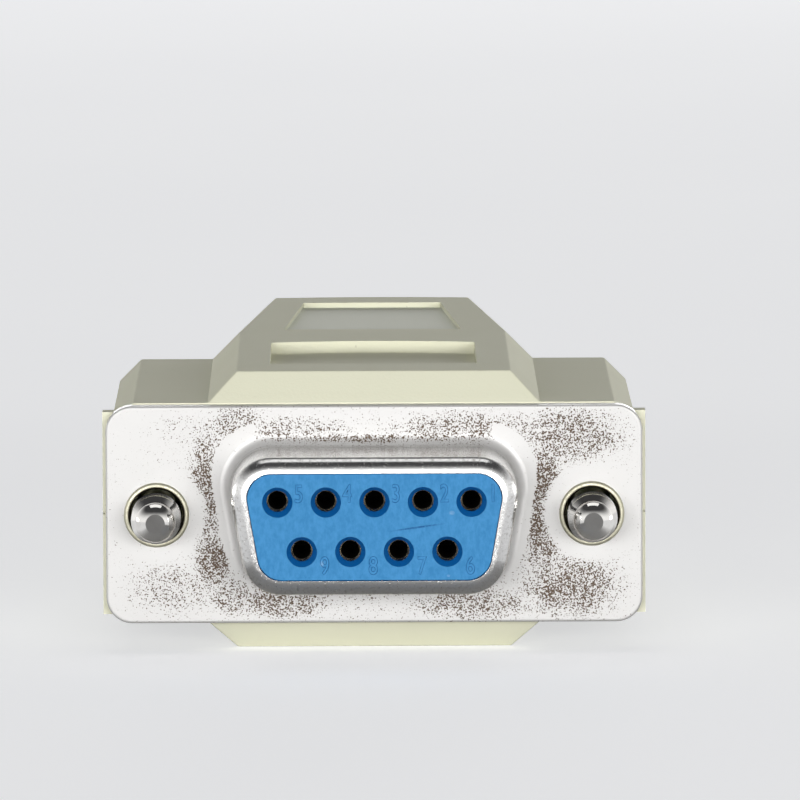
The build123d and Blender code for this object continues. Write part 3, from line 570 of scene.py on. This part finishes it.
# %% turned core
CORE_SIDES, CORE_SMOOTH = 64, math.radians(12)
NOSE_R = 0.55
DOME_R, DOME_STEPS = 0.9286, 10
DOME_START, DOME_END = math.radians(18), math.radians(75)
TIP_R, SHANK_R, GROOVE_R = 1.16, 1.10, 0.80
TIP_END, GROOVE_FRONT, GROOVE_BACK, SHANK_END = 0.93, 16.20, 16.94, 36.04
EDGE = 0.04
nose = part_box("left_jackscrew")[0].y
steps = []
for k in range(1, DOME_STEPS + 1):
    angle = DOME_START + (DOME_END - DOME_START) * k / DOME_STEPS
    rise = math.cos(DOME_START) - math.cos(angle)
    spread = math.sin(angle) - math.sin(DOME_START)
    steps.append((DOME_R * rise, NOSE_R + DOME_R * spread))
steps += [
    (TIP_END, TIP_R), (TIP_END + EDGE, SHANK_R),
    (GROOVE_FRONT, SHANK_R), (GROOVE_FRONT + EDGE, GROOVE_R),
    (GROOVE_BACK - EDGE, GROOVE_R), (GROOVE_BACK, SHANK_R), (SHANK_END, SHANK_R),
]


def turned_core(axis_x):
    bpy.ops.object.select_all(action="DESELECT")
    bpy.ops.mesh.primitive_circle_add(
        vertices=CORE_SIDES, radius=NOSE_R * MM, fill_type="NGON", location=(axis_x, nose, 0),
        rotation=(math.pi / 2, 0, 0),
    )
    core = bpy.context.object
    bpy.ops.object.transform_apply(location=True, rotation=True)
    bpy.ops.object.mode_set(mode="EDIT")
    bpy.ops.mesh.select_all(action="SELECT")
    y, radius = 0.0, NOSE_R
    for next_y, next_radius in steps:
        bpy.ops.mesh.extrude_region_move(TRANSFORM_OT_translate={"value": (0, (next_y - y) * MM, 0)})
        grow = next_radius / radius
        bpy.ops.transform.resize(
            value=(grow, 1, grow), center_override=(axis_x, nose + next_y * MM, 0),
        )
        y, radius = next_y, next_radius
    bpy.ops.mesh.select_all(action="SELECT")
    bpy.ops.mesh.normals_make_consistent(inside=False)
    bpy.ops.object.mode_set(mode="OBJECT")
    bpy.ops.object.shade_smooth_by_angle(angle=CORE_SMOOTH)
    return core


print("core of", len(steps), "steps")

# %% [markdown]
# ## Thread and finished jackscrews
# The rolled thread is a small four-sided section swept by a Screw modifier. Its ends are thinned
# over a part of a turn, so that the ridge runs out as a real one does. A bump could draw the turns
# too, but not their outline. Core and ridge are joined, and stand for the plain CAD screw.

# %% threaded jackscrews
THREAD_PITCH = 0.635 * MM
CREST = 1.42 * MM
RIDGE_SINK = 0.03
RIDGE_FOOT = (SHANK_R - RIDGE_SINK) * MM
RIDGE_START, FOOT_HALF, CREST_HALF = 1.35, 0.29, 0.05
RIDGE_SMOOTH = math.radians(40)
TURNS, TURN_STEPS, RUN_OUT = 4, 36, 14
section = [
    (RIDGE_FOOT, -FOOT_HALF), (CREST, -CREST_HALF), (CREST, CREST_HALF), (RIDGE_FOOT, FOOT_HALF),
]
# A new plane's corners run in rows, so this order goes round it.
AROUND_PLANE = (0, 1, 3, 2)


def thread_ridge(axis_x):
    bpy.ops.object.select_all(action="DESELECT")
    bpy.ops.mesh.primitive_plane_add(size=1)
    ridge = bpy.context.object
    bpy.ops.object.mode_set(mode="EDIT")
    bpy.ops.mesh.delete(type="ONLY_FACE")
    bpy.ops.object.mode_set(mode="OBJECT")
    for vertex, (radius, y) in zip(AROUND_PLANE, section):
        ridge.data.vertices[vertex].co = (radius, nose + (RIDGE_START + y) * MM, 0)
    sweep = ridge.modifiers.new("thread", "SCREW")
    sweep.axis = "Y"
    sweep.screw_offset = THREAD_PITCH
    sweep.iterations = TURNS
    sweep.steps = sweep.render_steps = TURN_STEPS
    bpy.ops.object.modifier_apply(modifier="thread")
    last = len(ridge.data.vertices) // len(section) - 1
    for vertex in ridge.data.vertices:
        ring = vertex.index // len(section)
        ramp = min(1, ring / RUN_OUT, (last - ring) / RUN_OUT)
        radius = math.hypot(vertex.co.x, vertex.co.z)
        shrink = (RIDGE_FOOT + (radius - RIDGE_FOOT) * ramp) / radius
        vertex.co.x *= shrink
        vertex.co.z *= shrink
    ridge.location.x = axis_x
    bpy.ops.object.transform_apply(location=True)
    bpy.ops.object.mode_set(mode="EDIT")
    bpy.ops.mesh.select_all(action="SELECT")
    bpy.ops.mesh.fill_holes(sides=8)
    bpy.ops.mesh.normals_make_consistent(inside=False)
    bpy.ops.object.mode_set(mode="OBJECT")
    bpy.ops.object.shade_smooth_by_angle(angle=RIDGE_SMOOTH)


for side, axis_x in (("left", -SCREW_X * MM), ("right", SCREW_X * MM)):
    screw = turned_core(axis_x)
    thread_ridge(axis_x)
    screw.select_set(True)
    bpy.context.view_layer.objects.active = screw
    bpy.ops.object.join()
    screw.name = f"{side}_threaded_jackscrew"
    screw.data.materials.clear()
    screw.data.materials.append(screw_nickel)
    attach(screw, f"{side}_screw")
    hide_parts(f"{side}_jackscrew")
    print(screw.name, len(screw.data.vertices), "vertices")

# %% [markdown]
# ## Raised numerals
# Each socket has its number beside it, moulded as a thin raised outline. A text object made a curve
# gives the outline. An offset shifts it a little, and a round bevel makes it a fine bead that is
# half sunk in the face. The bead is coloured a darker blue than the face, as painted shade for the
# shaded edges of the raised strokes. The figures are made meshes before they are put in place.
# Each could be traced by hand, but text keeps the nine of them even.

# %% raised numerals
PITCH_X, ROW_Z = 2.76, 1.42
UPPER_SET, LOWER_SET = (1.22, 0.45), (1.30, -0.84)
FIGURE_SIZE, FIGURE_NARROW = 1.45, 0.74
OUTLINE_SHIFT, BEAD_R, BEAD_PROUD = -0.035, 0.032, 0.004
# painted shade: the numerals are coloured a darker blue than the insulator they are moulded from
numeral_shade_blue, tree, surface = finish("numeral_shade_blue")
fine = noise(tree, millimetres(tree), 5, 2)
wire(
    tree, surface, base_color=tint(tree, fine, (0.010, 0.098, 0.27), (0.018, 0.135, 0.34)),
    roughness=ease(tree, fine, 0.3, 0.7, 0.4, 0.55), specular_ior_level=0.12,
)
face_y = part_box("front_insulator")[0].y
numbers = [(5 - k, (k - 2) * PITCH_X + UPPER_SET[0], ROW_Z + UPPER_SET[1]) for k in range(5)]
numbers += [(9 - k, (k - 1.5) * PITCH_X + LOWER_SET[0], LOWER_SET[1] - ROW_Z) for k in range(4)]
figures = []
for number, x, z in numbers:
    bpy.ops.object.select_all(action="DESELECT")
    bpy.ops.object.text_add()
    text = bpy.context.object
    text.data.body = str(number)
    text.data.align_x = "CENTER"
    text.data.align_y = "CENTER"
    text.data.size = FIGURE_SIZE * MM
    text.data.resolution_u = 4
    bpy.ops.object.convert(target="CURVE")
    outline = bpy.context.object
    outline.data.dimensions = "3D"
    outline.data.offset = OUTLINE_SHIFT * MM
    outline.data.bevel_depth = BEAD_R * MM
    outline.data.bevel_resolution = 2
    bpy.ops.object.convert(target="MESH")
    figure = bpy.context.object
    figure.rotation_euler = (math.pi / 2, 0, 0)
    figure.scale = (FIGURE_NARROW, 1, 1)
    figure.location = (x * MM, face_y - BEAD_PROUD * MM, z * MM)
    bpy.ops.object.transform_apply(location=True, rotation=True, scale=True)
    figures.append(figure)
for figure in figures:
    figure.select_set(True)
bpy.context.view_layer.objects.active = figures[0]
bpy.ops.object.join()
numerals = bpy.context.object
numerals.name = "insulator_numerals"
bpy.ops.object.shade_smooth()
numerals.data.materials.clear()
numerals.data.materials.append(numeral_shade_blue)
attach(numerals, "connector")
print("numerals", len(numerals.data.vertices), "vertices")
